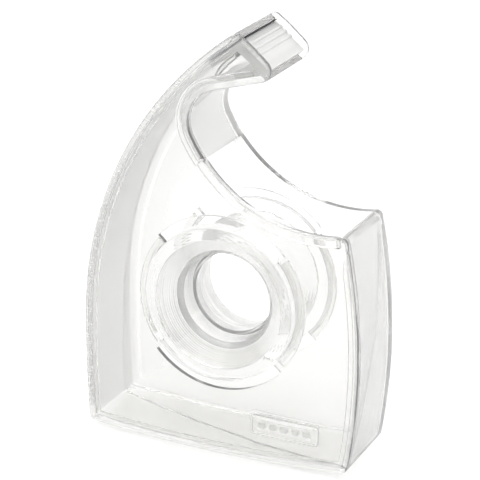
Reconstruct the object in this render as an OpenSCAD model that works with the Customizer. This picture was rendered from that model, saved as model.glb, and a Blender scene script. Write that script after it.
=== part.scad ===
// Clear hand dispenser for adhesive tape: a snail-shaped body with a hooked head,
// a side cover, two quarter-turn hub halves and a steel cutter in the head.
// X runs along the length with the beak towards +X, Y through the thickness with
// the cover on the -Y side, Z up. The origin is the middle of the hub's axis.

/* [Body] */
// Length of the body at its floor
body_l = 69.4; // [66:0.1:84]
// Height of the side wall's right corner above the floor's corners
front_h = 60.2; // [54:0.1:73]
// Thickness over the outer faces of the two side walls
body_t = 24; // [20:0.1:30]
// Height of the hub's axis above the floor's corners
hub_z = 38; // [37:0.1:46]
// Distance from the hub's axis to the floor's left corner
hub_x = 35; // [34:0.1:42]
// Outward bow of the floor
floor_bow = 1.7; // [0.5:0.1:2.5]
// Outward bow of the right wall
side_bow = 3; // [1:0.1:4]
// Thickness of a side wall
wall = 1.3; // [1:0.05:1.8]
// Thickness of the back and right walls
rim = 1.4; // [1.1:0.05:2]
// Thickness of the floor
floor_t = 1.4; // [1.1:0.05:2.5]
// Thickness of the throat panel and the head's underside
panel_t = 1.8; // [1.2:0.1:2.4]
// Width of the bead along the mouth's edges
bead_w = 2.6; // [1.8:0.1:3.5]
// Height of that bead, inwards from the wall
bead_h = 1; // [0.6:0.1:1.6]

/* [Head] */
// Forward reach of the head's top corner from the hub's axis
head_x = 2.6; // [0:0.1:5]
// Height of the head's top corner above the hub's axis
head_z = 67.6; // [66:0.1:72]
// Forward reach of the beak's corner from the hub's axis
beak_x = 14.2; // [12.5:0.1:17]
// Height of the beak's corner above the hub's axis
beak_z = 57.7; // [57:0.1:59]
// Depth of the landing face behind the cheeks' front edges
landing_in = 1.2; // [0.8:0.1:2]
// Length of the throat panel below its upper end
panel_l = 6.5; // [4:0.1:12]

/* [Hub] */
// Outer radius of the tube that the roll's core turns on
tube_r = 12.6; // [10:0.05:15.2]
// Thickness of that tube
tube_wall = 1.2; // [1:0.05:1.5]
// Outer radius of the hub's ring
ring_r = 19.5; // [16:0.1:20.5]
// Reach of the lugs past the ring
lug_reach = 2.3; // [1.5:0.1:2.8]
// Width of a lug, in degrees
lug_angle = 78; // [60:1:80]
// Height of the ring above the side wall
ring_raise = 1.4; // [0.8:0.1:2]
// Length of the far half's spigot inside the near half
spigot_l = 3; // [1.5:0.1:5]

/* [Cutter] */
// Width of the cutter from its teeth to its back edge
blade_w = 11; // [8:0.1:12]
// Thickness of the cutter's steel
blade_t = 0.4; // [0.3:0.05:0.6]
// Distance from one tooth to the next
tooth_pitch = 1.2; // [0.8:0.1:2]
// Depth of the teeth
tooth_h = 0.8; // [0.5:0.1:1.2]

/* [Fits] */
// Gap between pieces that come apart
gap = 0.3; // [0.25:0.05:0.4]
// Radial clearance of the spigot in the near tube
spigot_gap = 0.06; // [0.04:0.01:0.1]
// Clearance of the cutter from the wall at each end
blade_end_gap = 1; // [0.6:0.1:2]

/* [Hidden] */
$fn = 96;

half_t = body_t / 2;
wall_in = half_t - wall;
// How far two stretches of one moulding run into each other.
bite = 0.4;
bore_r = tube_r - tube_wall;
lug_r = ring_r + lug_reach;
blade_l = 2 * (wall_in - blade_end_gap);

// Corners of the side outline, and the radius that rounds each of them.
floor_left = [-hub_x, -hub_z];
floor_right = [body_l - hub_x, -hub_z];
mouth_right = [body_l - hub_x - 2.5, front_h - hub_z];
throat_low = [-8.4, 41];
throat_high = [-3.3, 52.6];
beak = [beak_x, beak_z];
head_top = [head_x, head_z];
back_widest = [-hub_x - 1.3, -7.7];
corner_r = 2.2;
mouth_corner_r = 1.5;
beak_r = 3;
head_r = 1.6;

// Bows of the outline's curved stretches; a negative one curves inwards.
mouth_bow = -7.5;
throat_bow = -2.9;
front_bow = 0.4;
back_bow = 10.25;
heel_bow = 0.34;

// Points of an arc from p to q, without its ends, that bows out to the right of travel.
function arc_points(p, q, bow, count) =
    let (half = norm(q - p) / 2,
         radius = (half * half + bow * bow) / (2 * bow),
         along = (q - p) / (2 * half),
         out = [along[1], -along[0]],
         centre = (p + q) / 2 - out * (radius - bow),
         sweep = asin(half / radius))
    [for (i = [1 : count - 1])
        let (a = sweep * (2 * i / count - 1))
        centre + abs(radius) * (out * sign(bow) * cos(a) + along * sin(abs(a)) * sign(2 * i - count))];

// Stretches of the outline, anticlockwise: corner, corner radius, bow, pieces, wall thickness.
stretches = [
    [floor_left, corner_r, floor_bow, 10, floor_t],
    [floor_right, corner_r, side_bow, 12, rim],
    [mouth_right, mouth_corner_r, mouth_bow, 14, panel_t],
    [throat_low, 0, throat_bow, 10, panel_t],
    [throat_high, 0, 0, 1, panel_t],
    [beak, beak_r, front_bow, 2, landing_in / 2],
    [head_top, head_r, back_bow, 20, rim],
    [back_widest, 0, heel_bow, 6, rim]
];

// Every vertex of the outline as [point, corner radius, thickness of the wall that follows].
vertices = [for (k = [0 : len(stretches) - 1])
    let (s = stretches[k], next = stretches[(k + 1) % len(stretches)][0])
    each concat([[s[0], s[1], s[4]]],
        s[3] > 1 ? [for (p = arc_points(s[0], next, s[2], s[3])) [p, 0, s[4]]] : [])];

function unit(v) = v / norm(v);
function mid_plane(p) = [p[0], 0, p[1]];
function inward(a, b) = let (d = unit(b - a)) [-d[1], d[0]];

// The vertex moved in by share times the thickness of the wall on each side of it.
function moved_in(i, share, extra) =
    let (n = len(vertices),
         before = vertices[(i + n - 1) % n],
         here = vertices[i],
         after = vertices[(i + 1) % n],
         a = inward(before[0], here[0]),
         b = inward(here[0], after[0]),
         in_a = before[2] * share + extra,
         in_b = here[2] * share + extra,
         det = a[0] * b[1] - a[1] * b[0])
    abs(det) < 0.02
        ? here[0] + a * in_a
        : here[0] + [in_a * b[1] - in_b * a[1], in_b * a[0] - in_a * b[0]] / det;

// The corner at q, between p and r, rounded by an arc of the given radius.
function rounded(p, q, r, radius) =
    let (a = unit(p - q), b = unit(r - q),
         half = acos(max(-1, min(1, a * b))) / 2,
         centre = q + unit(a + b) * radius / sin(half),
         start = q + a * radius / tan(half),
         finish = q + b * radius / tan(half),
         from = atan2(start[1] - centre[1], start[0] - centre[0]),
         turn = atan2(finish[1] - centre[1], finish[0] - centre[0]) - from,
         sweep = turn > 180 ? turn - 360 : turn < -180 ? turn + 360 : turn)
    [for (k = [0 : 6]) centre + radius * [cos(from + sweep * k / 6), sin(from + sweep * k / 6)]];

// The side outline, moved in by share of each wall's thickness and by extra.
function outline(share = 0, extra = 0) =
    let (n = len(vertices), moved = [for (i = [0 : n - 1]) moved_in(i, share, extra)])
    [for (i = [0 : n - 1])
        let (radius = vertices[i][1] - share * rim - extra)
        each vertices[i][1] == 0 ? [moved[i]]
            : radius < 0.3 ? [moved[i]]
            : rounded(moved[(i + n - 1) % n], moved[i], moved[(i + 1) % n], radius)];

// Centre and radius of the mouth's arc, for what is cut or laid along it.
mouth_half = norm(throat_low - mouth_right) / 2;
mouth_r = (mouth_half * mouth_half + mouth_bow * mouth_bow) / (-2 * mouth_bow);
mouth_along = unit(throat_low - mouth_right);
mouth_c = (mouth_right + throat_low) / 2 + [mouth_along[1], -mouth_along[0]] * (mouth_r + mouth_bow);
panel_end_a = atan2(throat_low[1] - mouth_c[1], throat_low[0] - mouth_c[0]) + 360
    + panel_l / mouth_r * 180 / PI;
mouth_stop = 0.2;
mouth_end = mouth_right - [rim + mouth_stop, 0];
mouth_end_a = atan2(mouth_end[1] - mouth_c[1], mouth_end[0] - mouth_c[0]) + 360;
// How far the bead stops short of the opening's ends, in degrees.
bead_short = 1.5;

// The front edge of the cheeks, and the plane of the landing face behind it.
front_along = unit(head_top - beak);
front_in = [-front_along[1], front_along[0]];

// The cutter lies under the back wall, with its teeth at the head's top corner.
blade_down = 38.5;
blade_back = [-cos(blade_down), -sin(blade_down)];
blade_up = [-sin(blade_down), cos(blade_down)];
tip_offset = [1.25, -1.2];
blade_tip = head_top + tip_offset;
teeth = floor(blade_l / tooth_pitch);

// The landing piece, between the cutter, the head's underside and the cheeks.
landing_plate = 2.2;
landing_seat = 1.4;
landing_foot = 1.2;
foot_l = 6.4;
landing_gap = 0.1;
landing_side_gap = 0.35;
tooth_clear = 0.4;
seat_short = 1;
lip_t = 0.2;
ridge_r = 0.45;
ridge_step = 1.6;
underside_along = unit(beak - throat_high);
underside_in = [-underside_along[1], underside_along[0]];
plate_low_end = beak + front_in * landing_in + front_along
    * (beak_r / tan(acos(-underside_along * front_along) / 2)
        - sqrt(beak_r * beak_r - pow(beak_r - landing_in, 2)) + 0.5);

// The point on the back of the landing plate at that height above the underside's outer line.
function plate_back(height) =
    let (start = plate_low_end + front_in * landing_plate)
    start + front_along * (height - (start - beak) * underside_in) / (front_along * underside_in);

// The hub's opening in each side wall, with a notch above and below for the lugs.
opening_r = ring_r + 0.25;
notch_r = lug_r + gap;
notch_angle = 96;
funnel_r = ring_r - 3.2;
funnel_step = 0.7;
funnel_l = 4;
funnel_lip = 0.8;
lug_t = 1.2;
// Chamfer that leads the roll's core onto each tube.
lead_in = 0.5;
spigot_root = 1;

// The ridge inside the cover that centres it in the body's wall.
ridge_gap = 0.15;
ridge_w = 1.2;
ridge_h = 0.5;

// The generic raised plate on the cover.
mark_low = [9.2, -32.2];
mark_size = [17.9, 5.4];
mark_raise = 0.4;
mark_edge = 0.6;

// Lays a flat shape drawn in X and Z between two depths.
module between(y_low, y_high) {
    translate([0, y_high, 0]) rotate([90, 0, 0]) linear_extrude(y_high - y_low) children();
}

// A solid of turning round the hub's axis; the profile is radius by depth.
module round_hub() {
    rotate([-90, 0, 0]) rotate_extrude() children();
}

// A wedge round a centre from one angle to another, drawn out to a radius.
module wedge(from, to, radius) {
    steps = 12;
    polygon(concat([[0, 0]],
        [for (k = [0 : steps]) let (a = from + (to - from) * k / steps) radius * [cos(a), sin(a)]]));
}

// The stretch of the mouth where the rim is left out.
module mouth_opening(reach) {
    translate(mouth_c) wedge(panel_end_a, mouth_end_a, mouth_r + reach);
}

// Everything up to that depth behind the cheeks' front edges.
module front_zone(depth) {
    far = 12;
    polygon([beak - front_along * far + front_in * depth, beak - front_along * far - front_in * far,
        head_top + front_along * far - front_in * far, head_top + front_along * far + front_in * depth]);
}

// One side wall: the outline with the hub's opening and its two notches.
module side_wall() {
    difference() {
        polygon(outline());
        circle(opening_r);
        for (side = [90, 270])
            wedge(side - notch_angle / 2, side + notch_angle / 2, notch_r);
    }
}

// The stiffening bead along a wall's mouth edge.
module mouth_bead() {
    intersection() {
        difference() {
            polygon(outline());
            polygon(outline(0, bead_w));
        }
        translate(mouth_c)
            wedge(panel_end_a + bead_short, mouth_end_a - bead_short, mouth_r + bead_w + 1);
    }
}

// The wall round the outline: back, floor, right wall, throat panel and underside.
module rim_wall() {
    difference() {
        polygon(outline());
        polygon(outline(1));
        mouth_opening(panel_t + 1);
        front_zone(landing_in);
        intersection() {
            front_zone(landing_in + landing_plate + landing_gap);
            translate(beak) circle(2 * beak_r + panel_t);
        }
    }
}

// The ridge inside the cover, along the inner side of the body's wall.
module centring_ridge() {
    difference() {
        polygon(outline(1, ridge_gap));
        polygon(outline(1, ridge_gap + ridge_w));
        mouth_opening(panel_t + ridge_gap + ridge_w + 1);
        front_zone(landing_in + landing_plate + ridge_w);
    }
}

// The low moulded step that crosses the floor and the right wall from corner to corner.
module corner_step() {
    step_t = 0.4;
    run = body_l - 2 * rim;
    rise = front_h - floor_t;
    deep = 2 * wall_in;
    normal = [deep / run, 1, -deep / rise];
    tilt = acos(normal[2] / norm(normal));
    intersection() {
        between(-wall_in + ridge_h + gap, wall_in + bite) intersection() {
            difference() {
                polygon(outline(1, -bite));
                polygon(outline(1, step_t));
            }
            translate([-hub_x + rim + 1, -hub_z - floor_t]) square([body_l, front_h]);
        }
        translate([floor_right[0] - rim, -wall_in, -hub_z + floor_t])
            rotate(a = tilt, v = cross([0, 0, 1], normal))
                translate([-body_l, -body_l, 0]) cube([2 * body_l, 2 * body_l, front_h]);
    }
}

module body_shell() {
    color("whitesmoke", 0.4) union() {
        between(wall_in, half_t) side_wall();
        between(-wall_in + gap, wall_in + bite) rim_wall();
        between(wall_in - bead_h, wall_in + bite) mouth_bead();
        corner_step();
    }
}

module side_cover() {
    color("ghostwhite", 0.4) union() {
        between(-half_t, -wall_in) side_wall();
        between(-wall_in - bite, -wall_in + bead_h) mouth_bead();
        between(-wall_in - bite, -wall_in + ridge_h) centring_ridge();
        between(-half_t - mark_raise, -half_t + bite) translate(mark_low) difference() {
            square(mark_size);
            translate([mark_edge, mark_edge]) square(mark_size - 2 * [mark_edge, mark_edge]);
        }
    }
}

// One half of the hub, drawn on the far side: ring, funnel, tube and lugs.
module hub_half(tube_end) {
    face = half_t + ring_raise;
    lug_top = wall_in - gap;
    lug_low = lug_top - lug_t;
    funnel_top = face - funnel_step;
    round_hub() polygon([
        [bore_r, tube_end], [tube_r - lead_in, tube_end], [tube_r, tube_end + lead_in],
        [tube_r, lug_low], [ring_r, lug_low], [ring_r, face], [funnel_r, face],
        [funnel_r, funnel_top], [bore_r + funnel_lip, funnel_top - funnel_l],
        [bore_r, funnel_top - funnel_l - funnel_lip]
    ]);
    for (side = [0, 180]) between(lug_low, lug_top) difference() {
        rotate(side - lug_angle / 2) wedge(0, lug_angle, lug_r);
        circle(ring_r - bite);
    }
}

module hub_far() {
    color("lavender", 0.5) union() {
        hub_half(gap / 2);
        round_hub() polygon([
            [bore_r - tube_wall, -spigot_l], [bore_r - spigot_gap, -spigot_l],
            [bore_r - spigot_gap, spigot_root], [bore_r + bite, spigot_root],
            [bore_r + bite, spigot_root + tube_wall], [bore_r - tube_wall, spigot_root]
        ]);
    }
}

module hub_near() {
    color("lavender", 0.5) mirror([0, 1, 0]) hub_half(gap / 2);
}

// A flat strip with teeth along its front edge, lying back and down from the head's top.
module cutter_blade() {
    color("dimgray")
        translate([blade_tip[0], 0, blade_tip[1]])
            rotate([0, -blade_down, 0])
                translate([0, 0, -blade_t]) linear_extrude(blade_t) polygon(concat(
                    [[-blade_w, blade_l / 2], [-blade_w, -blade_l / 2]],
                    [for (k = [0 : teeth - 1]) let (y = (k - teeth / 2) * tooth_pitch)
                        each [[-tooth_h, y], [0, y + tooth_pitch / 2]]],
                    [[-tooth_h, teeth / 2 * tooth_pitch], [-tooth_h, blade_l / 2]]));
}

// A hook-shaped piece: the seat under the cutter, the ridged landing face and a foot.
module tape_landing() {
    seat_front = blade_tip + blade_back * (tooth_h + tooth_clear) - blade_up * (blade_t + landing_gap);
    seat_back = seat_front + blade_back * (blade_w - seat_short);
    face_top = seat_front - blade_up * lip_t;
    foot_low = panel_t + landing_gap;
    width = wall_in - landing_side_gap;
    color("gainsboro", 0.6) union() {
        between(-width + gap, width) polygon([
            seat_back, seat_front, face_top, plate_low_end, plate_low_end + front_in * landing_plate,
            plate_back(foot_low), plate_back(foot_low) - underside_along * foot_l,
            plate_back(foot_low + landing_foot) - underside_along * foot_l,
            plate_back(foot_low + landing_foot),
            face_top - blade_up * landing_seat + blade_back * landing_plate,
            seat_back - blade_up * landing_seat
        ]);
        for (k = [1 : 3])
            translate(mid_plane(face_top + unit(plate_low_end - face_top) * ridge_step * k))
                rotate([90, 0, 0]) cylinder(r = ridge_r, h = 2 * (width - gap), center = true);
    }
}

body_shell();
side_cover();
hub_far();
hub_near();
cutter_blade();
tape_landing();
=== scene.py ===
import math

import bmesh
import bpy
import numpy as np
from mathutils import Matrix, Vector


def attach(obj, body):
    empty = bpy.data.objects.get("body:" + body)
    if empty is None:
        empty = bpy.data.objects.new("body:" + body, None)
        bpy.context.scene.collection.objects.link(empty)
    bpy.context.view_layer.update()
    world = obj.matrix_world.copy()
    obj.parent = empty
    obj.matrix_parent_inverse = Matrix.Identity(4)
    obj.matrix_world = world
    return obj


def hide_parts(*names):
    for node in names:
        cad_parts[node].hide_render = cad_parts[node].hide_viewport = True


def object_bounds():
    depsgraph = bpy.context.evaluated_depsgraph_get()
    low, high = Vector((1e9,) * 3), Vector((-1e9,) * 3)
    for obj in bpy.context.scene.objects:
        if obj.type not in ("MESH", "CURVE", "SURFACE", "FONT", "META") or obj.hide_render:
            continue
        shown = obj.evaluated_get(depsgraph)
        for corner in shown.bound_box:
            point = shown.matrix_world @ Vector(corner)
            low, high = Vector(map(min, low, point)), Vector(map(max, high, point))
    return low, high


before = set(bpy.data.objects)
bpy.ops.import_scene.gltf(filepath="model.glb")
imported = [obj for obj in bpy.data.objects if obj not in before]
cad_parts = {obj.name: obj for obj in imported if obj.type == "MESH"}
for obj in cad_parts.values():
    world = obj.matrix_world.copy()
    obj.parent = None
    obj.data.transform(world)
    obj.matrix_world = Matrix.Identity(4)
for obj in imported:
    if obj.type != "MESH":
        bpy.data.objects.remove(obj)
cad_low, cad_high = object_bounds()
scene = bpy.context.scene

# ---------------------------------------------------------------------------
# Body shell
# One clear polystyrene moulding: the far side wall with the wall round its
# edge, the throat panel and the head's underside. Sizes are in millimetres,
# from the hub's axis, with X along the length and Z up.
half_t = 12.0
wall = 1.3
wall_in = half_t - wall
rim_t, panel_t = 1.4, 1.8
skin = 0.06
fillet = 2.0
lift = 0.35
landing_in, plate_t = 1.2, 2.2

floor_left, floor_right = np.array([-35.0, -38.0]), np.array([34.4, -38.0])
mouth_right, throat_low = np.array([31.9, 22.2]), np.array([-8.4, 41.0])
throat_high, beak = np.array([-3.3, 52.6]), np.array([14.2, 57.7])
head_top, back_widest = np.array([2.6, 67.6]), np.array([-36.3, -7.7])


def arc_of(p, q, bow):
    """Centre, radius and side (+1 bowing out, -1 in) of the arc from p to q."""
    half = np.linalg.norm(q - p) / 2
    side = -1 if bow < 0 else 1
    bow = max(abs(bow), 0.004)
    radius = (half * half + bow * bow) / (2 * bow)
    along = (q - p) / (2 * half)
    out = np.array([along[1], -along[0]])
    return (p + q) / 2 - out * side * (radius - bow), radius, side


def on_arc(arc, inset, p):
    """The point of the arc, moved in by inset, that is nearest to p, and the way of travel there."""
    centre, radius, side = arc
    radial = (p - centre) / np.linalg.norm(p - centre)
    along = side * np.array([-radial[1], radial[0]])
    return centre + radial * (radius - side * inset), along


mouth_arc = arc_of(mouth_right, throat_low, -7.5)


def along_mouth(start, length):
    """The point on the mouth's arc at that distance past start."""
    centre, radius, _ = mouth_arc
    a = math.atan2(start[1] - centre[1], start[0] - centre[0]) - length / radius
    return centre + radius * np.array([math.cos(a), math.sin(a)])


mouth_from = along_mouth(mouth_right, 1.75)
mouth_to = along_mouth(throat_low, -6.5)

# Runs of the side outline, anticlockwise: arc, start, steps, kind, wall thickness, corner radius.
# A radius of 0 is a smooth joint and None a break where the wall's section changes at once.
runs = [
    (arc_of(floor_left, floor_right, 1.7), floor_left, 40, "floor", rim_t, 2.2),
    (arc_of(floor_right, mouth_right, 3.0), floor_right, 36, "right", rim_t, 2.2),
    (mouth_arc, mouth_right, 2, "stub", rim_t, 1.5),
    (mouth_arc, mouth_from, 30, "mouth", panel_t, None),
    (mouth_arc, mouth_to, 6, "panel", panel_t, None),
    (arc_of(throat_low, throat_high, -2.9), throat_low, 12, "panel", panel_t, 0),
    (arc_of(throat_high, beak, 0), throat_high, 12, "panel", panel_t, 0),
    (arc_of(beak, head_top, 0.4), beak, 8, "front", 0, 3.0),
    (arc_of(head_top, back_widest, 10.25), head_top, 56, "back", rim_t, 1.6),
    (arc_of(back_widest, floor_left, 0.34), back_widest, 16, "heel", rim_t, 0),
]
MOUTH, FRONT = 3, 7
CORNER_STEPS = 8


def joint(k, in_a, in_b, radius):
    """The points that join run k - 1 to run k, each moved in by its own amount."""
    a, b = runs[k - 1][0], runs[k][0]
    p = runs[k][1]
    if runs[k][5] is None:
        pa, along = on_arc(a, in_a, p)
        pb, _ = on_arc(b, in_b, p)
        return [pa - along * 0.05, pb + along * 0.05]
    for _ in range(12):
        pa, ta = on_arc(a, in_a, p)
        pb, tb = on_arc(b, in_b, p)
        det = ta[0] * tb[1] - ta[1] * tb[0]
        if abs(det) < 0.03:
            return [(pa + pb) / 2]
        step = pb - pa
        p = pa + ta * (step[0] * tb[1] - step[1] * tb[0]) / det
    if runs[k][5] == 0:
        return [p]
    turn = math.atan2(det, float(ta @ tb))
    reach = max(radius, 0.12) * math.tan(turn / 2)
    first, _ = on_arc(a, in_a, p - ta * reach)
    last, _ = on_arc(b, in_b, p + tb * reach)
    weight = math.cos(turn / 2)
    points = []
    for i in range(CORNER_STEPS + 1):
        u = i / CORNER_STEPS
        f = [(1 - u) ** 2, 2 * u * (1 - u) * weight, u * u]
        points.append((f[0] * first + f[1] * p + f[2] * last) / sum(f))
    return points


def ring(starts, ends, radii):
    """One closed line round the outline. starts and ends hold each run's (inset, depth) at its two ends.
    Returns the points, their depths and the run that each belongs to."""
    count = len(runs)
    joints = [
        joint(k, ends[k - 1][0] + skin, starts[k][0] + skin, radii[k]) for k in range(count)
    ]
    points, depths, owner = [], [], []
    for k in range(count):
        cut = len(joints[k]) // 2
        rest = len(joints[k]) - cut
        points += joints[k]
        depths += [ends[k - 1][1]] * cut + [starts[k][1]] * rest
        owner += [(k - 1) % count] * cut + [k] * rest
        (centre, radius, side), steps = runs[k][0], runs[k][2]
        p, q = joints[k][-1] - centre, joints[(k + 1) % count][0] - centre
        a0, a1 = math.atan2(p[1], p[0]), math.atan2(q[1], q[0])
        sweep = (a1 - a0 + math.pi) % (2 * math.pi) - math.pi
        for i in range(1, steps):
            u = i / steps
            fade = max(0.0, (u - 0.86) / 0.14)
            fade = fade * fade * (3 - 2 * fade)
            inset, depth = (a + (b - a) * fade for a, b in zip(starts[k], ends[k]))
            r = radius - side * (inset + skin)
            a = a0 + sweep * u
            points.append(centre + r * np.array([math.cos(a), math.sin(a)]))
            depths.append(depth)
            owner.append(k)
    return points, depths, owner


# The wall's section as insets from the outline and depths, from the far face inwards.
turns = [(fillet * (1 - math.cos(a)), fillet * math.sin(a)) for a in np.radians([0, 22, 45, 68, 90])]
cheek = [(0.5, 12.0), (0.15, 11.86), (0.0, 11.5), (0.0, 10.95)]


def wall_section(t, raised):
    inner = t + (lift if raised else 0)
    return (
        cheek
        + [(0, 10.7), (0, 10.6), (0, -10.1), (0.09, -10.31), (0.3, -10.4)]
        + [(t - 0.3, -10.4), (t - 0.09, -10.31), (t, -10.1), (t, 8.2), (inner, 8.4)]
        + [(inner + d, wall_in - fillet + h) for d, h in turns]
        + [(inner + fillet + 0.4, wall_in)]
    )


flat_wall = wall_section(rim_t, False)
stub_section = flat_wall[:-6] + [(rim_t + 0.03 * i, wall_in - 0.5 + 0.1 * i) for i in range(6)]
bead_section = (
    cheek
    + [(0, 10.7), (0, 10.6), (0, 9.95), (0.07, 9.77), (0.25, 9.7), (2.35, 9.7), (2.53, 9.77)]
    + [(2.6, 9.95), (2.6, 10.05), (2.6, 10.15), (2.6, 10.3), (2.62, 10.44), (2.67, 10.56)]
    + [(2.76, 10.66), (2.95, 10.7), (3.3, 10.7)]
)


def front_section(depth):
    """The cheek's front edge, with the rest of the wall left out up to that depth behind it."""
    return (
        cheek
        + [(0.25, 10.7), (depth, 10.7)]
        + [(depth + 0.015 * i, 10.7) for i in range(1, 7)]
        + [(depth + 0.1 + 0.15 * i, 10.7) for i in range(1, 9)]
    )


start_sections, end_sections = [], []
for k, run in enumerate(runs):
    kind, t = run[3], run[4]
    first = {
        "mouth": bead_section, "stub": stub_section,
        "front": front_section(landing_in + plate_t + 0.1),
    }.get(kind) or wall_section(t, kind in ("floor", "right", "heel"))
    last = {
        "right": stub_section, "front": front_section(landing_in), "back": wall_section(t, True),
    }.get(kind, first)
    start_sections.append(first)
    end_sections.append(last)


def step_depth(x, z, kind):
    """Where the low moulded step runs: down the back, across the floor and up the right wall."""
    if kind == "floor":
        return 5.5 - 15.3 * (x + 33.6) / 66.6
    if kind == "right":
        return min(-9.8 + 18.1 * (z + 36.6) / 57.0, 8.3)
    if kind == "heel":
        return 5.5 + 1.3 * (z + 36.6) / 28.9
    if kind == "back":
        return min(6.8 + 1.5 * max(0.0, z + 7.7) / 16.0, 8.3)
    return 8.3


def corner_radii(starts, ends, inside):
    """Each corner's radius at these insets. Inside the cheek the front's two corners are almost sharp."""
    radii = [
        0 if not run[5] else max(run[5] - min(max(starts[k][0], ends[k - 1][0]), 3.0), 0.7)
        for k, run in enumerate(runs)
    ]
    if inside:
        radii[FRONT] = radii[FRONT + 1] = 0.15
    return radii


def opening_line(grow):
    """The hub's opening: a circle with a wider notch above and below."""
    points = []
    for side in (0, 180):
        for radius, middle, width, count in ((19.75, 0, 84, 36), (22.1, 90, 96, 44)):
            half = width / 2 + (1 if middle else -1) * math.degrees(grow / radius)
            for i in range(count + 1):
                a = math.radians(side + middle - half + 2 * half * i / count)
                points.append((radius + grow) * np.array([math.cos(a), math.sin(a)]))
    return points


def add_ring(bm, points, depths):
    return [bm.verts.new((p[0] / 1000, y / 1000, p[1] / 1000)) for p, y in zip(points, depths)]


def join_rings(bm, a, b):
    n = len(a)
    for i in range(n):
        bm.faces.new((a[i], a[(i + 1) % n], b[(i + 1) % n], b[i]))


def fill_between(bm, *loops):
    """A flat face bounded by the first loop, with the others as holes in it."""
    edges = []
    for loop in loops:
        for i, v in enumerate(loop):
            w = loop[(i + 1) % len(loop)]
            edges.append(bm.edges.get((v, w)) or bm.edges.new((v, w)))
    bmesh.ops.triangle_fill(bm, use_beauty=True, use_dissolve=False, edges=edges)


def opening_wall(bm, outer_y, inner_y):
    """The short wall inside the hub's opening, with softened edges; returns its two end loops."""
    way = 1 if inner_y > outer_y else -1
    grows = (0.14, 0.04, 0.0, 0.0, 0.04, 0.14)
    depths = (0, 0.04, 0.14, wall - 0.14, wall - 0.04, wall)
    loops = []
    for grow, depth in zip(grows, depths):
        points = opening_line(grow)
        loops.append(add_ring(bm, points, [outer_y + way * depth] * len(points)))
    for a, b in zip(loops, loops[1:]):
        join_rings(bm, a, b)
    return loops[0], loops[-1]


def finished_piece(bm, name, material, body, *nodes):
    """Makes the mesh an object at the origin, smooth with flat faces kept flat, riding on its body."""
    bmesh.ops.recalc_face_normals(bm, faces=bm.faces)
    mesh = bpy.data.meshes.new(name)
    bm.to_mesh(mesh)
    bm.free()
    piece = bpy.data.objects.new(name, mesh)
    scene.collection.objects.link(piece)
    mesh.shade_smooth()
    mesh.materials.append(material)
    weighted = piece.modifiers.new("Weighted normals", "WEIGHTED_NORMAL")
    weighted.mode = "FACE_AREA"
    weighted.weight = 60
    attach(piece, body)
    if nodes:
        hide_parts(*nodes)
    return piece


def link(tree, a, b):
    tree.links.new(a, b)


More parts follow.
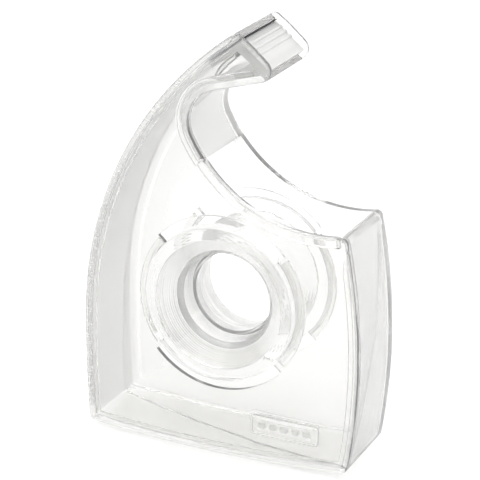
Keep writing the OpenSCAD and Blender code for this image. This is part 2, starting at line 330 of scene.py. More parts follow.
def moulded_group():
    """Shared wear of clear moulded plastic: a faint tint, uneven polish and slow waves in the surface,
    and painted grey shade where the frost input is high.
    """
    group = bpy.data.node_groups.new("moulded_clear", "ShaderNodeTree")
    face = group.interface
    for name, kind, value in (
        ("Position", "NodeSocketVector", None),
        ("Light tint", "NodeSocketColor", (0.99, 0.99, 0.985, 1)),
        ("Deep tint", "NodeSocketColor", (0.95, 0.95, 0.945, 1)),
        ("Polish", "NodeSocketFloat", 0.02),
        ("Frost and shade", "NodeSocketFloat", 0.0),
    ):
        socket = face.new_socket(name=name, in_out="INPUT", socket_type=kind)
        if value is not None:
            socket.default_value = value
    face.new_socket(name="Colour", in_out="OUTPUT", socket_type="NodeSocketColor")
    face.new_socket(name="Roughness", in_out="OUTPUT", socket_type="NodeSocketFloat")
    face.new_socket(name="Height", in_out="OUTPUT", socket_type="NodeSocketFloat")
    n = group.nodes
    ins, outs = n.new("NodeGroupInput"), n.new("NodeGroupOutput")
    waves = n.new("ShaderNodeTexNoise")
    waves.inputs["Scale"].default_value = 55
    waves.inputs["Detail"].default_value = 1.5
    link(group, ins.outputs["Position"], waves.inputs["Vector"])
    flow = n.new("ShaderNodeTexWave")
    flow.wave_type = "RINGS"
    flow.rings_direction = "Y"
    flow.inputs["Scale"].default_value = 26
    flow.inputs["Distortion"].default_value = 5
    flow.inputs["Detail"].default_value = 2
    link(group, ins.outputs["Position"], flow.inputs["Vector"])
    stretched = n.new("ShaderNodeMapping")
    stretched.inputs["Scale"].default_value = (60, 700, 240)
    stretched.inputs["Rotation"].default_value = (0.0, 0.7, 0.0)
    link(group, ins.outputs["Position"], stretched.inputs["Vector"])
    scuffs = n.new("ShaderNodeTexNoise")
    scuffs.inputs["Scale"].default_value = 4
    scuffs.inputs["Detail"].default_value = 6
    scuffs.inputs["Roughness"].default_value = 0.65
    link(group, stretched.outputs[0], scuffs.inputs["Vector"])
    scuffed = n.new("ShaderNodeMapRange")
    scuffed.inputs["From Min"].default_value = 0.56
    scuffed.inputs["From Max"].default_value = 0.78
    scuffed.inputs["To Max"].default_value = 0.09
    link(group, scuffs.outputs["Fac"], scuffed.inputs["Value"])
    rough = n.new("ShaderNodeMath")
    rough.operation = "ADD"
    link(group, ins.outputs["Polish"], rough.inputs[0])
    link(group, scuffed.outputs[0], rough.inputs[1])
    frosted = n.new("ShaderNodeMath")
    frosted.operation = "MULTIPLY_ADD"
    frosted.inputs[1].default_value = 0.32
    link(group, ins.outputs["Frost and shade"], frosted.inputs[0])
    link(group, rough.outputs[0], frosted.inputs[2])
    link(group, frosted.outputs[0], outs.inputs["Roughness"])
    tint = n.new("ShaderNodeMix")
    tint.data_type = "RGBA"
    link(group, waves.outputs["Fac"], tint.inputs["Factor"])
    link(group, ins.outputs["Light tint"], tint.inputs["A"])
    link(group, ins.outputs["Deep tint"], tint.inputs["B"])
    # Painted shade: the frost input also greys the colour towards a light grey, as well as making the
    # surface rougher.
    painted_shade_share = n.new("ShaderNodeMath")
    painted_shade_share.operation = "MULTIPLY"
    painted_shade_share.inputs[1].default_value = 0.6
    link(group, ins.outputs["Frost and shade"], painted_shade_share.inputs[0])
    painted_shade_tint = n.new("ShaderNodeMix")
    painted_shade_tint.data_type = "RGBA"
    painted_shade_tint.inputs["B"].default_value = (0.85, 0.85, 0.84, 1)
    link(group, painted_shade_share.outputs[0], painted_shade_tint.inputs["Factor"])
    link(group, tint.outputs["Result"], painted_shade_tint.inputs["A"])
    link(group, painted_shade_tint.outputs["Result"], outs.inputs["Colour"])
    small = n.new("ShaderNodeMath")
    small.operation = "MULTIPLY"
    small.inputs[1].default_value = 0.12
    link(group, flow.outputs["Fac"], small.inputs[0])
    height = n.new("ShaderNodeMath")
    height.operation = "ADD"
    link(group, waves.outputs["Fac"], height.inputs[0])
    link(group, small.outputs[0], height.inputs[1])
    grain = n.new("ShaderNodeTexNoise")
    grain.inputs["Scale"].default_value = 1400
    link(group, ins.outputs["Position"], grain.inputs["Vector"])
    grained = n.new("ShaderNodeMath")
    grained.operation = "MULTIPLY"
    link(group, grain.outputs["Fac"], grained.inputs[0])
    link(group, ins.outputs["Frost and shade"], grained.inputs[1])
    rise = n.new("ShaderNodeMath")
    rise.operation = "MULTIPLY_ADD"
    rise.inputs[1].default_value = 0.08
    link(group, grained.outputs[0], rise.inputs[0])
    link(group, height.outputs[0], rise.inputs[2])
    link(group, rise.outputs[0], outs.inputs["Height"])
    return group


moulded = moulded_group()


def clear_plastic(name, light_tint, deep_tint, polish, wave_depth, haze):
    """Clear plastic that bends light, with a little haze, that lets lamps through so that its shadow
    stays pale, and lets light out once it has bounced inside the walls ten times.
    Where the mesh's frost attribute is above 0 the surface is matt, as an unpolished mould leaves it, and
    its colour is greyed with painted shade."""
    material = bpy.data.materials.new(name)
    material.use_nodes = True
    tree = material.node_tree
    tree.nodes.clear()
    out = tree.nodes.new("ShaderNodeOutputMaterial")
    shader = tree.nodes.new("ShaderNodeBsdfPrincipled")
    shader.name = "Plastic"
    shader.inputs["Transmission Weight"].default_value = 1 - haze
    shader.inputs["IOR"].default_value = 1.57
    place = tree.nodes.new("ShaderNodeTexCoord")
    wear = tree.nodes.new("ShaderNodeGroup")
    wear.name = "Wear"
    wear.node_tree = moulded
    wear.inputs["Light tint"].default_value = light_tint
    wear.inputs["Deep tint"].default_value = deep_tint
    wear.inputs["Polish"].default_value = polish
    link(tree, place.outputs["Object"], wear.inputs["Position"])
    # The frost attribute roughens the surface and paints grey shade into its colour.
    frost = tree.nodes.new("ShaderNodeAttribute")
    frost.attribute_name = "frost"
    link(tree, frost.outputs["Fac"], wear.inputs["Frost and shade"])
    link(tree, wear.outputs["Colour"], shader.inputs["Base Color"])
    link(tree, wear.outputs["Roughness"], shader.inputs["Roughness"])
    bump = tree.nodes.new("ShaderNodeBump")
    bump.name = "Waves"
    bump.inputs["Strength"].default_value = 0.5
    bump.inputs["Distance"].default_value = wave_depth
    link(tree, wear.outputs["Height"], bump.inputs["Height"])
    link(tree, bump.outputs["Normal"], shader.inputs["Normal"])
    lamp_way = tree.nodes.new("ShaderNodeBsdfTransparent")
    lamp_way.inputs["Color"].default_value = (0.94, 0.94, 0.935, 1)
    path = tree.nodes.new("ShaderNodeLightPath")
    either = tree.nodes.new("ShaderNodeMixShader")
    trapped = tree.nodes.new("ShaderNodeMath")
    trapped.operation = "GREATER_THAN"
    trapped.inputs[1].default_value = 10
    link(tree, path.outputs["Ray Depth"], trapped.inputs[0])
    let_out = tree.nodes.new("ShaderNodeMath")
    let_out.operation = "MAXIMUM"
    link(tree, path.outputs["Is Shadow Ray"], let_out.inputs[0])
    link(tree, trapped.outputs[0], let_out.inputs[1])
    link(tree, let_out.outputs[0], either.inputs["Fac"])
    link(tree, shader.outputs[0], either.inputs[1])
    link(tree, lamp_way.outputs[0], either.inputs[2])
    link(tree, either.outputs[0], out.inputs["Surface"])
    return material


body_plastic = clear_plastic(
    "clear_body", (0.97, 0.969, 0.963, 1), (0.93, 0.929, 0.921, 1), 0.012, 0.0002, 0.05
)

# How matt each run is, and how much painted grey shade it takes, as a share of its ring's value. The far
# face is polished, the rings get more matt and more shaded inwards, and only the end of the fillet is
# polished again.
run_matt_and_shade = {"mouth": 0.35, "front": 0.0, "floor": 0.45, "back": 1.35, "heel": 1.35}
step_rings, fillet_end = (12, 13), 18
step_half = 0.12

bm = bmesh.new()
frost = bm.verts.layers.float.new("frost")
body_rings = []
for j in range(len(flat_wall)):
    starts, ends = [s[j] for s in start_sections], [s[j] for s in end_sections]
    radii = corner_radii(starts, ends, j > 5)
    points, depths, owner = ring(starts, ends, radii)
    if j in step_rings:
        for i, (p, k) in enumerate(zip(points, owner)):
            if runs[k][3] not in ("mouth", "front", "stub"):
                way = -1 if j == step_rings[0] else 1
                depths[i] = step_depth(p[0], p[1], runs[k][3]) + way * step_half
    row = add_ring(bm, points, depths)
    # Painted shade: the frost value greys the colour as well as roughening it, more on the inner rings.
    matt_and_shade = 0.0 if j < 5 or j == fillet_end else 0.3 if j < 7 else 0.6 if j < 11 else 1.0
    for v, k in zip(row, owner):
        v[frost] = matt_and_shade * run_matt_and_shade.get(runs[k][3], 1.0)
    body_rings.append(row)
for a, b in zip(body_rings, body_rings[1:]):
    join_rings(bm, a, b)
far_face, far_inside = opening_wall(bm, half_t, wall_in)
fill_between(bm, body_rings[0], far_face)
fill_between(bm, body_rings[-1], far_inside)
body_shell = finished_piece(bm, "clear_shell", body_plastic, "shell", "body_shell")

# ---------------------------------------------------------------------------
# Side cover
# The near side wall: a flat clear plate of the same outline that closes the
# body, with a bead along the mouth and a plain raised frame low on its face.
plate_edge = [(0.5, -12.0), (0.15, -11.86), (0.0, -11.5)]


def plate_section(t):
    """The plate's edge, then the low ridge that centres it inside the body's wall."""
    return (
        plate_edge
        + [(0.0, -11.0), (0.06, -10.82), (0.25, -10.7), (t + 0.2, -10.7), (t + 0.22, -10.34)]
        + [(t + 0.36, -10.22), (t + 1.15, -10.22), (t + 1.29, -10.34), (t + 1.31, -10.7)]
        + [(t + 1.7, -10.7)]
    )


def flat_section(first, step):
    """The plate's edge, and a flat inside from that inset on."""
    return (
        plate_edge
        + [(0.0, -11.0), (0.06, -10.82), (0.25, -10.7)]
        + [(first + step * i, -10.7) for i in range(7)]
    )


plate_bead = plate_edge + [
    (0.0, -9.95), (0.07, -9.77), (0.25, -9.7), (2.35, -9.7), (2.53, -9.77), (2.6, -9.95),
    (2.6, -10.1), (2.6, -10.3), (2.62, -10.6), (2.75, -10.7),
]
cover_starts = [
    {
        "mouth": plate_bead, "stub": flat_section(0.6, 0.15), "front": flat_section(4.6, 0.1),
    }.get(run[3]) or plate_section(run[4])
    for run in runs
]
cover_ends = list(cover_starts)
cover_ends[1] = flat_section(0.6, 0.15)
cover_plastic = clear_plastic(
    "clear_cover", (0.97, 0.969, 0.963, 1), (0.93, 0.929, 0.921, 1), 0.012, 0.0002, 0.05
)


def round_box(x0, z0, x1, z1, radius, inset=0.0):
    """A box outline with round corners, moved in by inset."""
    radius = max(radius - inset, 0.05)
    x0, z0, x1, z1 = x0 + inset + radius, z0 + inset + radius, x1 - inset - radius, z1 - inset - radius
    points = []
    for cx, cz, a0 in ((x1, z1, 0), (x0, z1, 90), (x0, z0, 180), (x1, z0, 270)):
        for i in range(7):
            a = math.radians(a0 + 15 * i)
            points.append(np.array([cx + radius * math.cos(a), cz + radius * math.sin(a)]))
    return points


def raised_box(bm, x0, z0, x1, z1, radius, rise, face_y, matt_and_shade):
    """The flank of a raised box on the cover's outer face, matt and painted a shaded grey above its foot.
    Returns its foot and its top loops."""
    loops = []
    for inset, up in ((0, 0), (0.03, rise * 0.7), (0.1, rise * 0.95), (0.18, rise)):
        points = round_box(x0, z0, x1, z1, radius, inset)
        loops.append(add_ring(bm, points, [face_y - up] * len(points)))
        for v in loops[-1]:
            v[frost] = matt_and_shade if up else 0
    for a, b in zip(loops, loops[1:]):
        join_rings(bm, a, b)
    return loops[0], loops[-1]


# The cover's bead starts further along the mouth, clear of the end of the body's wall.
runs[MOUTH] = (mouth_arc, along_mouth(mouth_right, 2.3)) + runs[MOUTH][2:]

bm = bmesh.new()
frost = bm.verts.layers.float.new("frost")
cover_rings = []
# Frost for each ring of the plate's edge, which roughens it and paints grey shade into its colour.
cover_matt_and_shade = (0, 0, 0.2, 0.3, 0.3, 0.3, 0.2, 0.4, 0.4, 0.4, 0.4, 0.2, 0)
for j in range(len(plate_bead)):
    starts, ends = [s[j] for s in cover_starts], [s[j] for s in cover_ends]
    radii = corner_radii(starts, ends, j > 5)
    points, depths, _ = ring(starts, ends, radii)
    row = add_ring(bm, points, depths)
    for v in row:
        v[frost] = cover_matt_and_shade[j]
    cover_rings.append(row)
for a, b in zip(cover_rings, cover_rings[1:]):
    join_rings(bm, a, b)
near_face, near_inside = opening_wall(bm, -half_t, -wall_in)
# The frame and the bars take strong frost values, which paint them a shaded grey so that they read as
# dark lines.
frame_foot, frame_top = raised_box(bm, 9.2, -32.2, 27.1, -26.8, 0.9, 0.36, -half_t, 1.6)
inner_foot, inner_top = [], []
for inset, up in ((0.18, 0.36), (0.1, 0.34), (0.03, 0.25), (0.0, 0.0)):
    points = round_box(9.85, -31.55, 26.45, -27.45, 0.5, -inset)
    loop = add_ring(bm, points, [-half_t - up] * len(points))
    if inner_foot:
        join_rings(bm, inner_foot, loop)
    else:
        inner_top = loop
    inner_foot = loop
fill_between(bm, frame_top, inner_top)
bars = []
for i in range(5):
    x0 = 11.2 + 2.9 * i
    foot, top = raised_box(bm, x0, -30.3, x0 + 1.9, -28.7, 0.5, 0.3, -half_t, 2.2)
    fill_between(bm, top)
    bars.append(foot)
fill_between(bm, inner_foot, *bars)
fill_between(bm, cover_rings[0], near_face, frame_foot)
fill_between(bm, cover_rings[-1], near_inside)
side_cover = finished_piece(bm, "clear_side_cover", cover_plastic, "cover", "side_cover")

# ---------------------------------------------------------------------------
# Hub halves
# Two clear turned-looking rings, one in each side wall. Each has a tube that
# carries the roll's core and two lugs that lock behind the wall by a quarter
# turn; the far half also has a thin spigot that enters the near half's tube.
ring_profile = [
    (12.1, 0.15), (12.6, 0.65), (12.6, 2.5), (12.6, 8.95), (12.67, 9.13), (12.85, 9.2),
    (19.3, 9.2), (19.44, 9.26), (19.5, 9.4), (19.5, 9.6), (19.5, 10.0), (19.5, 10.25),
    (19.5, 10.4), (19.5, 10.55), (19.5, 13.1), (19.42, 13.32), (19.2, 13.4),
    (16.55, 13.4), (16.37, 13.33), (16.3, 13.15), (16.3, 12.85), (16.24, 12.72),
    (16.05, 12.6), (12.45, 8.95), (12.2, 8.6), (11.55, 8.0), (11.4, 7.6), (11.4, 4.0),
]
lug_points = {
    6: (21.55, 9.2), 7: (21.73, 9.27), 8: (21.8, 9.45), 9: (21.8, 9.8),
    10: (21.8, 10.15), 11: (21.73, 10.33), 12: (21.55, 10.4), 13: (19.5, 10.4),
}
near_end = [(11.4, 0.3), (11.5, 0.15)]
spigot_end = [
    (11.4, 2.2), (10.2, 1.0), (10.2, -2.85), (10.3, -3.0), (11.2, -3.0), (11.34, -2.8), (11.34, 0.15),
]


def hub_material():
    """Clear plastic with fine concentric turning lines, as a turned mould leaves them."""
    material = clear_plastic(
        "clear_hub", (0.966, 0.965, 0.96, 1), (0.93, 0.929, 0.922, 1), 0.015, 0.00015, 0.08
    )
    tree = material.node_tree
    n = tree.nodes
    place = next(x for x in n if x.type == "TEX_COORD")
    split = n.new("ShaderNodeSeparateXYZ")
    link(tree, place.outputs["Object"], split.inputs[0])
    flat = n.new("ShaderNodeCombineXYZ")
    link(tree, split.outputs["X"], flat.inputs["X"])
    link(tree, split.outputs["Z"], flat.inputs["Z"])
    radius = n.new("ShaderNodeVectorMath")
    radius.operation = "LENGTH"
    link(tree, flat.outputs[0], radius.inputs[0])
    scaled = n.new("ShaderNodeMath")
    scaled.operation = "MULTIPLY"
    scaled.inputs[1].default_value = 9500
    link(tree, radius.outputs["Value"], scaled.inputs[0])
    lines = n.new("ShaderNodeMath")
    lines.operation = "SINE"
    link(tree, scaled.outputs[0], lines.inputs[0])
    fine = n.new("ShaderNodeBump")
    fine.inputs["Strength"].default_value = 0.12
    fine.inputs["Distance"].default_value = 0.00003
    link(tree, lines.outputs[0], fine.inputs["Height"])
    link(tree, n["Waves"].outputs["Normal"], fine.inputs["Normal"])
    link(tree, fine.outputs["Normal"], n["Plastic"].inputs["Normal"])
    return material


hub_plastic = hub_material()


def hub_half(name, side, end, body, node):
    """One half, swept round the axis; side is +1 for the far half and -1 for the near one."""
    plain = ring_profile + end
    angles = []
    for start in (0, 180):
        angles += [(start + a, True) for a in np.linspace(-38.9, 38.9, 34)]
        angles += [(start + a, False) for a in np.linspace(39.15, 140.85, 44)]
    bm = bmesh.new()
    frost = bm.verts.layers.float.new("frost")
    stations = []
    for a, lug in angles:
        shape = [lug_points.get(i, p) if lug else p for i, p in enumerate(plain)]
        c, s = math.cos(math.radians(a)), math.sin(math.radians(a))
        stations.append(
            [bm.verts.new((r * c / 1000, side * y / 1000, r * s / 1000)) for r, y in shape]
        )
        for i, v in enumerate(stations[-1]):
            # The frost values also paint a little grey shade into the colour, most on the tube and least
            # on the flange.
            v[frost] = 0.25 if i < 4 else 0.5 if i > 20 else 0.03
    count = len(stations)
    for i in range(count):
        join_rings(bm, stations[i], stations[(i + 1) % count])
    piece = finished_piece(bm, name, hub_plastic, body, node)


hub_half("hub_ring_far", 1, spigot_end, "far_hub", "hub_far")
hub_half("hub_ring_near", -1, near_end, "near_hub", "hub_near")

# ---------------------------------------------------------------------------
# Cutter
# A thin strip of sheet steel under the back wall, with a saw edge on its front, bevelled by grinding,
# where the tape is torn off. That edge is painted near black as shade.
blade_w, blade_t, blade_l = 11.0, 0.4, 19.4
tooth_h, tooth_pitch, tooth_count = 0.8, 1.2, 16
blade_down = math.radians(38.5)
blade_tip = head_top + np.array([1.25, -1.2])
grind_w = 1.3


def steel_material():
    """Rolled steel, brushed along its length, with painted shade making it near black along the toothed
    edge.
    """
    material = bpy.data.materials.new("blade_steel")
    material.use_nodes = True
    tree = material.node_tree
    n = tree.nodes
    shader = n["Principled BSDF"]
    shader.inputs["Metallic"].default_value = 1
    place = n.new("ShaderNodeTexCoord")
    brush = n.new("ShaderNodeMapping")
    brush.inputs["Scale"].default_value = (3000, 60, 3000)
    link(tree, place.outputs["Object"], brush.inputs["Vector"])
    grain = n.new("ShaderNodeTexNoise")
    grain.inputs["Scale"].default_value = 1
    grain.inputs["Detail"].default_value = 4
    link(tree, brush.outputs[0], grain.inputs["Vector"])
    cloud = n.new("ShaderNodeTexNoise")
    cloud.inputs["Scale"].default_value = 320
    link(tree, place.outputs["Object"], cloud.inputs["Vector"])
    edge = n.new("ShaderNodeAttribute")
    edge.attribute_name = "edge_shade"
    steel = n.new("ShaderNodeMix")
    steel.data_type = "RGBA"
    steel.inputs["A"].default_value = (0.38, 0.39, 0.41, 1)
    steel.inputs["B"].default_value = (0.46, 0.47, 0.49, 1)
    link(tree, cloud.outputs["Fac"], steel.inputs["Factor"])
    # Painted shade: the attribute from the blade mesh turns the toothed edge near black.
    edge_shade_mix = n.new("ShaderNodeMix")
    edge_shade_mix.data_type = "RGBA"
    edge_shade_mix.inputs["B"].default_value = (0.02, 0.02, 0.022, 1)
    link(tree, edge.outputs["Fac"], edge_shade_mix.inputs["Factor"])
    link(tree, steel.outputs["Result"], edge_shade_mix.inputs["A"])
    link(tree, edge_shade_mix.outputs["Result"], shader.inputs["Base Color"])
    rough = n.new("ShaderNodeMapRange")
    rough.inputs["To Min"].default_value = 0.24
    rough.inputs["To Max"].default_value = 0.5
    link(tree, grain.outputs["Fac"], rough.inputs["Value"])
    link(tree, rough.outputs[0], shader.inputs["Roughness"])
    bump = n.new("ShaderNodeBump")
    bump.inputs["Strength"].default_value = 0.35
    bump.inputs["Distance"].default_value = 0.00002
    link(tree, grain.outputs["Fac"], bump.inputs["Height"])
    link(tree, bump.outputs["Normal"], shader.inputs["Normal"])
    return material


bm = bmesh.new()
edge_shade = bm.verts.layers.float.new("edge_shade")
back_way = np.array([-math.cos(blade_down), -math.sin(blade_down)])
up_way = np.array([-math.sin(blade_down), math.cos(blade_down)])
edge_depths = [-blade_l / 2]
for i in range(tooth_count):
    edge_depths += [(i - tooth_count / 2) * tooth_pitch, (i + 0.5 - tooth_count / 2) * tooth_pitch]
edge_depths += [tooth_count / 2 * tooth_pitch, blade_l / 2]
stations = []
for i, y in enumerate(edge_depths):
    is_tip = i > 1 and i % 2 == 0 and i < len(edge_depths) - 2
    front = 0.05 if is_tip else tooth_h
    # The third value of each point is how much painted shade darkens it, full at the teeth.
    section = [
        (front, -blade_t + 0.02, 1.0), (front, -blade_t + 0.06, 1.0),
        (front + grind_w * 0.55, -0.06, 1.0), (front + grind_w * 0.8, 0.0, 0.6),
        (grind_w + tooth_h + 0.4, 0.0, 0.0), (blade_w - 0.12, 0.0, 0.0), (blade_w, -0.1, 0.0),
        (blade_w, -blade_t + 0.1, 0.0), (blade_w - 0.12, -blade_t, 0.0),
        (grind_w + tooth_h + 0.4, -blade_t, 0.0),
    ]
    row = []
    for back, up, share in section:
        p = blade_tip + back_way * back + up_way * up
        v = bm.verts.new((p[0] / 1000, y / 1000, p[1] / 1000))
        v[edge_shade] = share
        row.append(v)
    stations.append(row)
for a, b in zip(stations, stations[1:]):
    join_rings(bm, a, b)
bm.faces.new(stations[0])
bm.faces.new(list(reversed(stations[-1])))
cutter = finished_piece(bm, "saw_edge_cutter", steel_material(), "shell", "cutter_blade")

# ---------------------------------------------------------------------------
# Landing piece
# A hook-shaped clear moulding between the cheeks. The cutter lies on its seat
# and the tape's end rests on its ridged face, which is softly frosted.
tooth_clear, landing_gap, seat_short, lip_t, seat_t = 0.4, 0.1, 1, 0.2, 1.4
beak_r = 3.0
ridge_step = 1.6
under_way = (beak - throat_high) / np.linalg.norm(beak - throat_high)
under_in = np.array([-under_way[1], under_way[0]])
seat_front = blade_tip + back_way * (tooth_h + tooth_clear) - up_way * (blade_t + landing_gap)
seat_back = seat_front + back_way * (blade_w - seat_short)
face_top = seat_front - up_way * lip_t
front_way = (head_top - beak) / np.linalg.norm(head_top - beak)
front_in = np.array([-front_way[1], front_way[0]])
beak_half = math.acos(float(-under_way @ front_way)) / 2
low_reach = beak_r / math.tan(beak_half) - math.sqrt(beak_r**2 - (beak_r - landing_in) ** 2) + 0.5
plate_end = beak + front_in * landing_in + front_way * low_reach


def plate_back(height):
    """The point on the plate's back at that height above the underside's outer line."""
    start = plate_end + front_in * plate_t
    return start + front_way * (height - (start - beak) @ under_in) / (front_way @ under_in)


foot_low, foot_t, foot_l = panel_t + landing_gap, 1.2, 6.4
hook = [
    seat_back, seat_front, face_top, plate_end, plate_end + front_in * plate_t,
    plate_back(foot_low), plate_back(foot_low) - under_way * foot_l,
    plate_back(foot_low + foot_t) - under_way * foot_l, plate_back(foot_low + foot_t),
    face_top - up_way * seat_t + back_way * plate_t,
    seat_back - up_way * seat_t,
]
face_way = (plate_end - face_top) / np.linalg.norm(plate_end - face_top)


def frosted_material():
    """Clear plastic, frosted on the face that the tape's end sticks to."""
    material = clear_plastic(
        "clear_landing", (0.87, 0.87, 0.86, 1), (0.82, 0.82, 0.81, 1), 0.06, 0.00005, 0.6
    )
    tree = material.node_tree
    n = tree.nodes
    place = next(x for x in n if x.type == "TEX_COORD")
    down = n.new("ShaderNodeVectorMath")
    down.operation = "DOT_PRODUCT"
    out_way = np.array([-face_way[1], face_way[0]])
    down.inputs[1].default_value = (out_way[0], 0, out_way[1])
    link(tree, place.outputs["Object"], down.inputs[0])
    mask = n.new("ShaderNodeMapRange")
    level = float(out_way @ face_top) / 1000
    mask.inputs["From Min"].default_value = level - 0.0005
    mask.inputs["From Max"].default_value = level - 0.0001
    mask.inputs["To Max"].default_value = 0.35
    link(tree, down.outputs["Value"], mask.inputs["Value"])
    frost = n.new("ShaderNodeTexNoise")
    frost.inputs["Scale"].default_value = 2600
    link(tree, place.outputs["Object"], frost.inputs["Vector"])
    even = n.new("ShaderNodeMapRange")
    even.inputs["To Min"].default_value = 0.7
    link(tree, frost.outputs["Fac"], even.inputs["Value"])
    grains = n.new("ShaderNodeMath")
    grains.operation = "MULTIPLY"
    link(tree, mask.outputs[0], grains.inputs[0])
    link(tree, even.outputs[0], grains.inputs[1])
    total = n.new("ShaderNodeMath")
    total.operation = "ADD"
    link(tree, n["Wear"].outputs["Roughness"], total.inputs[0])
    link(tree, grains.outputs[0], total.inputs[1])
    link(tree, total.outputs[0], n["Plastic"].inputs["Roughness"])
    return material


landing_plastic = frosted_material()
bm = bmesh.new()
low_y, high_y = -10.03, 10.33
near_row = [bm.verts.new((p[0] / 1000, low_y / 1000, p[1] / 1000)) for p in hook]
far_row = [bm.verts.new((p[0] / 1000, high_y / 1000, p[1] / 1000)) for p in hook]
join_rings(bm, near_row, far_row)
bm.faces.new(near_row)
bm.faces.new(list(reversed(far_row)))
bmesh.ops.recalc_face_normals(bm, faces=bm.faces)
bmesh.ops.bevel(
    bm, geom=list(bm.edges), offset=0.00014, segments=2, profile=0.5, affect="EDGES", clamp_overlap=True
)
landing = finished_piece(bm, "landing_hook", landing_plastic, "shell", "tape_landing")


def ridge_nodes():
    """Round ridges laid at even steps down a line, as one mesh."""
    tree = bpy.data.node_groups.new("ridges", "GeometryNodeTree")
    face = tree.interface
    face.new_socket(name="Geometry", in_out="INPUT", socket_type="NodeSocketGeometry")
    for name, kind in (
        ("Count", "NodeSocketInt"), ("First", "NodeSocketVector"), ("Step", "NodeSocketVector"),
        ("Radius", "NodeSocketFloat"), ("Length", "NodeSocketFloat"),
        ("Material", "NodeSocketMaterial"),
    ):
        face.new_socket(name=name, in_out="INPUT", socket_type=kind)
    face.new_socket(name="Geometry", in_out="OUTPUT", socket_type="NodeSocketGeometry")
    n = tree.nodes
    ins, outs = n.new("NodeGroupInput"), n.new("NodeGroupOutput")
    line = n.new("GeometryNodeMeshLine")
    link(tree, ins.outputs["Count"], line.inputs["Count"])
    link(tree, ins.outputs["First"], line.inputs["Start Location"])
    link(tree, ins.outputs["Step"], line.inputs["Offset"])
    rod = n.new("GeometryNodeMeshCylinder")
    rod.inputs["Vertices"].default_value = 20
    rod.inputs["Side Segments"].default_value = 8
    link(tree, ins.outputs["Radius"], rod.inputs["Radius"])
    link(tree, ins.outputs["Length"], rod.inputs["Depth"])
    lay = n.new("GeometryNodeInstanceOnPoints")
    lay.inputs["Rotation"].default_value = (math.pi / 2, 0, 0)
    link(tree, line.outputs["Mesh"], lay.inputs["Points"])
    link(tree, rod.outputs["Mesh"], lay.inputs["Instance"])
    real = n.new("GeometryNodeRealizeInstances")
    link(tree, lay.outputs["Instances"], real.inputs["Geometry"])
    paint = n.new("GeometryNodeSetMaterial")
    link(tree, real.outputs["Geometry"], paint.inputs["Geometry"])
    link(tree, ins.outputs["Material"], paint.inputs["Material"])
    link(tree, paint.outputs["Geometry"], outs.inputs["Geometry"])
    return tree


def grown(name, tree, values):
    """Runs a node tree on an empty mesh with these inputs and keeps the result as a plain mesh object."""
    holder = bpy.data.objects.new(name + "_source", bpy.data.meshes.new(name + "_source"))
    scene.collection.objects.link(holder)
    nodes = holder.modifiers.new("Nodes", "NODES")
    nodes.node_group = tree
    sockets = {s.name: s.identifier for s in tree.interface.items_tree if s.in_out == "INPUT"}
    for key, value in values.items():
        nodes[sockets[key]] = value
    bpy.context.view_layer.update()
    shown = holder.evaluated_get(bpy.context.evaluated_depsgraph_get())
    mesh = bpy.data.meshes.new_from_object(shown)
    mesh.name = name
    bpy.data.objects.remove(holder)
    piece = bpy.data.objects.new(name, mesh)
    scene.collection.objects.link(piece)
    return piece


first = face_top + face_way * ridge_step
ridges = grown("landing_ridges", ridge_nodes(), {
    "Count": 3,
    "First": (first[0] / 1000, 0.00015, first[1] / 1000),
    "Step": (face_way[0] * ridge_step / 1000, 0.0, face_way[1] * ridge_step / 1000),
    "Radius": 0.00042,
    "Length": 0.0198,
    "Material": landing_plastic,
})
ridges.data.shade_smooth()
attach(ridges, "shell")

# ---------------------------------------------------------------------------
# Set, light and camera
# A plain pale sweep that is floor and backdrop in one, soft lamps above and
# behind, and the camera at the distance and angle the object is seen from.
def sweep_material():
    material = bpy.data.materials.new("pale_sweep")
    material.use_nodes = True
    tree = material.node_tree
    n = tree.nodes
    shader = n["Principled BSDF"]
    shader.inputs["Roughness"].default_value = 0.9
    shader.inputs["Specular IOR Level"].default_value = 0.1
    place = n.new("ShaderNodeTexCoord")
    grain = n.new("ShaderNodeTexNoise")
    grain.inputs["Scale"].default_value = 12
    link(tree, place.outputs["Object"], grain.inputs["Vector"])
    tone = n.new("ShaderNodeMix")
    tone.data_type = "RGBA"
    tone.inputs["A"].default_value = (0.93, 0.93, 0.93, 1)
    tone.inputs["B"].default_value = (0.95, 0.95, 0.95, 1)
    link(tree, grain.outputs["Fac"], tone.inputs["Factor"])
    link(tree, tone.outputs["Result"], shader.inputs["Base Color"])
    return material


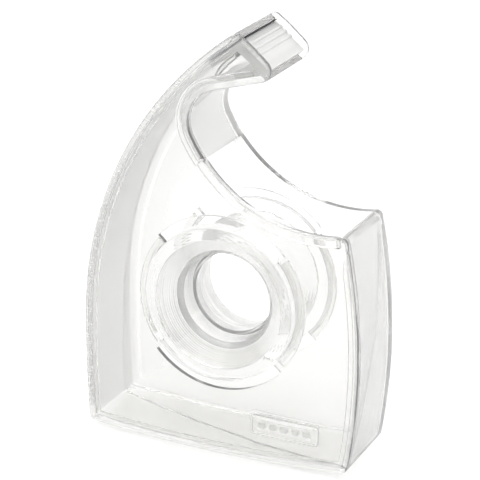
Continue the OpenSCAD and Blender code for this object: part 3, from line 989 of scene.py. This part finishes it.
floor_z = cad_low[2]
bm = bmesh.new()
sweep_line = [(-0.9, 0.0), (0.25, 0.0)]
for i in range(1, 13):
    a = math.radians(90 * i / 12)
    sweep_line.append((0.25 + 0.35 * math.sin(a), 0.35 * (1 - math.cos(a))))
sweep_line.append((0.6, 1.3))
rows = [
    [bm.verts.new((x, y, floor_z + z)) for y, z in sweep_line] for x in (-1.1, 1.1)
]
for i in range(len(sweep_line) - 1):
    bm.faces.new((rows[0][i], rows[1][i], rows[1][i + 1], rows[0][i + 1]))
mesh = bpy.data.meshes.new("pale_sweep")
bm.to_mesh(mesh)
bm.free()
sweep = bpy.data.objects.new("pale_sweep", mesh)
scene.collection.objects.link(sweep)
mesh.shade_smooth()
mesh.materials.append(sweep_material())


def soft_lamp(name, place, aim, width, height, power):
    lamp = bpy.data.lights.new(name, "AREA")
    lamp.shape = "RECTANGLE"
    lamp.size, lamp.size_y, lamp.energy = width, height, power
    obj = bpy.data.objects.new(name, lamp)
    obj.location = place
    obj.rotation_mode = "QUATERNION"
    obj.rotation_quaternion = (Vector(aim) - Vector(place)).to_track_quat("-Z", "Y")
    scene.collection.objects.link(obj)


soft_lamp("overhead", (0.0, -0.05, 1.0), (0, 0, 0), 1.2, 1.2, 6.0)
soft_lamp("backdrop", (0.0, -0.1, 0.85), (0, 0.6, 0.3), 1.6, 0.5, 1.2)

world = bpy.data.worlds.new("studio")
world.use_nodes = True
world.node_tree.nodes["Background"].inputs["Color"].default_value = (0.8, 0.8, 0.8, 1)
world.node_tree.nodes["Background"].inputs["Strength"].default_value = 1.0
scene.world = world

azimuth, elevation, roll = math.radians(23.5), math.radians(20.5), math.radians(1.521)
look_at = Vector((5.655, -13.4, 17.841)) / 1000
away = Vector((
    math.sin(azimuth) * math.cos(elevation), -math.cos(azimuth) * math.cos(elevation), math.sin(elevation)
))
right = Vector((math.cos(azimuth), math.sin(azimuth), 0))
up = away.cross(right)
cam_x = right * math.cos(roll) + up * math.sin(roll)
cam_y = up * math.cos(roll) - right * math.sin(roll)
camera_data = bpy.data.cameras.new("camera")
camera_data.lens = 165
camera_data.sensor_width = 36
camera = bpy.data.objects.new("camera", camera_data)
turn = Matrix((cam_x, cam_y, away)).transposed()
camera.matrix_world = Matrix.Translation(look_at + away * 0.518443) @ turn.to_4x4()
scene.collection.objects.link(camera)
scene.camera = camera

scene.view_settings.view_transform = "Standard"
for name in ("max_bounces", "transmission_bounces", "transparent_max_bounces"):
    setattr(scene.cycles, name, 24)
scene.cycles.glossy_bounces = 8
scene.cycles.diffuse_bounces = 3
